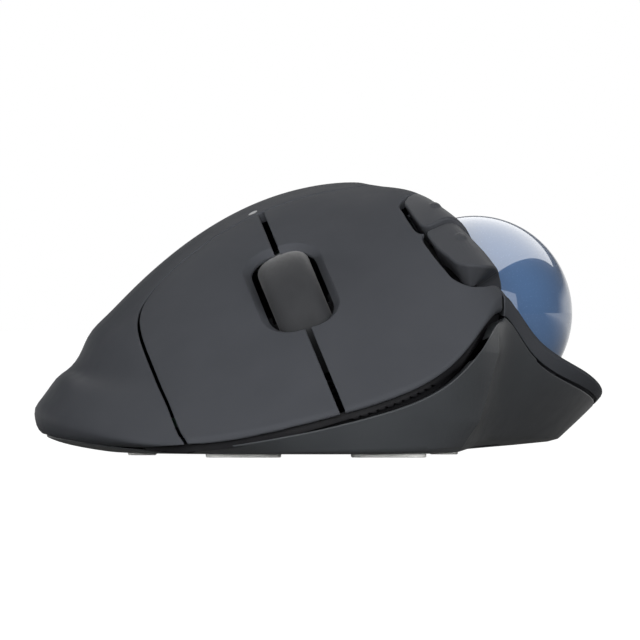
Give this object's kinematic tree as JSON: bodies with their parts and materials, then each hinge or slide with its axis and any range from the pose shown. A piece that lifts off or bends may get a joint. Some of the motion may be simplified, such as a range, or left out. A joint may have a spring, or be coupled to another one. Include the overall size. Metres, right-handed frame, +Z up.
{
  "type": "thumb trackball mouse",
  "caption": "Cordless right-hand trackball mouse: a rolled, sculpted case with a thumb ball in a cup, two main buttons, a scroll wheel and side keys.",
  "frame": {"origin": "on the desk under the middle of the case", "axes": "+Z up, -Y towards the front of the mouse where the buttons end, +X towards the thumb and the ball"},
  "size_m": [0.1, 0.134, 0.048],
  "materials": {
    "case": "fine-grained graphite ABS, satin",
    "base": "fine-grained darker graphite ABS, satin",
    "key": "smooth graphite ABS, satin",
    "rubber": "soft-touch dark grey, smooth",
    "ball": "glossy deep blue with fine metallic flecks under a clear surface",
    "innards": "moulded black",
    "steel": "plain steel",
    "bearing": "polished ceramic",
    "board": "green solder resist",
    "lens": "clear moulded optics",
    "foot": "pale low-friction pad",
    "nib": "moulded red nib",
    "cell": "plain printed sleeve over steel"
  },
  "bodies": {
    "case": {"back_switch": "innards", "ball_cup": "innards", "battery": "cell", "battery_contact": "steel", "battery_spring": "steel", "board_screw_1": "steel", "board_screw_2": "steel", "bottom_case": "base", "case_screw_1": "steel", "case_screw_2": "steel", "case_screw_3": "steel", "case_screw_4": "steel", "control_chip": "innards", "foot_finger_side": "foot", "foot_front_inner": "foot", "foot_front_outer": "foot", "foot_rear": "foot", "foot_thumb_side": "foot", "forward_switch": "innards", "hinge_pin": "steel", "left_switch": "innards", "main_board": "board", "middle_switch": "innards", "optical_sensor": "innards", "palm_shell": "case", "receiver_cap": "key", "receiver_plug": "steel", "right_switch": "innards", "sensor_board": "board", "sensor_lens": "lens", "status_light": "lens", "support_bearing_1": "bearing", "support_bearing_2": "bearing", "support_bearing_3": "bearing", "wheel_spring": "steel"},
    "left_button": {"left_button": "case"},
    "right_button": {"right_button": "case"},
    "forward_button": {"forward_button": "key"},
    "back_button": {"back_button": "key"},
    "trackball": {"trackball": "ball"},
    "wheel_carriage": {"wheel_carriage": "innards", "wheel_encoder": "board"},
    "wheel": {"wheel_tyre": "rubber", "wheel_hub": "innards", "wheel_axle": "steel"},
    "battery_door": {"battery_door": "base"},
    "power_switch": {"power_switch": "key"},
    "connect_button": {"connect_button": "key"},
    "left_plunger": {"left_switch_plunger": "nib"},
    "right_plunger": {"right_switch_plunger": "nib"},
    "middle_plunger": {"middle_switch_plunger": "nib"},
    "forward_plunger": {"forward_switch_plunger": "nib"},
    "back_plunger": {"back_switch_plunger": "nib"}
  },
  "joints": [
    {"name": "left_button_press", "type": "hinge", "parent": "case", "child": "left_button", "pos_m": [-0.01336, -0.003, 0.03224], "axis": [0.9239, 0, 0.3827], "range_deg": [0, 0.7], "stiffness_Nm_per_rad": 2.4, "springref_deg": -0.23},
    {"name": "right_button_press", "type": "hinge", "parent": "case", "child": "right_button", "pos_m": [-0.01336, -0.003, 0.03224], "axis": [0.9239, 0, 0.3827], "range_deg": [0, 0.7], "stiffness_Nm_per_rad": 2.4, "springref_deg": -0.23},
    {"name": "wheel_click", "type": "slide", "parent": "case", "child": "wheel_carriage", "axis": [0.3827, 0, -0.9239], "range_m": [0, 0.0005], "stiffness_N_per_m": 1500, "springref_m": -0.0004, "deforming": ["wheel_spring"]},
    {"name": "wheel_spin", "type": "hinge", "parent": "wheel_carriage", "child": "wheel", "pos_m": [-0.00237, -0.0348, 0.02348], "axis": [0.9239, 0, 0.3827], "continuous": true},
    {"name": "forward_button_press", "type": "slide", "parent": "case", "child": "forward_button", "axis": [0, 0, -1], "range_m": [0, 0.0006], "stiffness_N_per_m": 900, "springref_m": -0.0004},
    {"name": "back_button_press", "type": "slide", "parent": "case", "child": "back_button", "axis": [0, 0, -1], "range_m": [0, 0.0006], "stiffness_N_per_m": 900, "springref_m": -0.0004},
    {"name": "trackball_roll", "type": "hinge", "parent": "case", "child": "trackball", "pos_m": [0.0272, -0.014, 0.0249], "axis": [0, 1, 0], "continuous": true},
    {"name": "battery_door_removal", "type": "slide", "parent": "case", "child": "battery_door", "axis": [0, 0, -1], "range_m": [0, 0.02]},
    {"name": "power_switch_slide", "type": "slide", "parent": "case", "child": "power_switch", "axis": [1, 0, 0], "range_m": [0, 0.003]},
    {"name": "connect_button_press", "type": "slide", "parent": "case", "child": "connect_button", "axis": [0, 0, 1], "range_m": [0, 0.0006], "stiffness_N_per_m": 400, "springref_m": -0.0004},
    {"name": "left_plunger_travel", "type": "slide", "parent": "case", "child": "left_plunger", "axis": [0, 0, -1], "range_m": [0, 0.00055]},
    {"name": "right_plunger_travel", "type": "slide", "parent": "case", "child": "right_plunger", "axis": [0, 0, -1], "range_m": [0, 0.00055]},
    {"name": "middle_plunger_travel", "type": "slide", "parent": "case", "child": "middle_plunger", "axis": [0, 0, -1], "range_m": [0, 0.0005]},
    {"name": "forward_plunger_travel", "type": "slide", "parent": "case", "child": "forward_plunger", "axis": [0, 0, -1], "range_m": [0, 0.0006]},
    {"name": "back_plunger_travel", "type": "slide", "parent": "case", "child": "back_plunger", "axis": [0, 0, -1], "range_m": [0, 0.0006]}
  ],
  "couplings": [
    {"joint": "left_plunger_travel", "follows": "left_button_press", "m_per_rad": 0.04065},
    {"joint": "right_plunger_travel", "follows": "right_button_press", "m_per_rad": 0.03834},
    {"joint": "middle_plunger_travel", "follows": "wheel_click", "ratio": 0.92388},
    {"joint": "forward_plunger_travel", "follows": "forward_button_press", "ratio": 1},
    {"joint": "back_plunger_travel", "follows": "back_button_press", "ratio": 1}
  ]
}
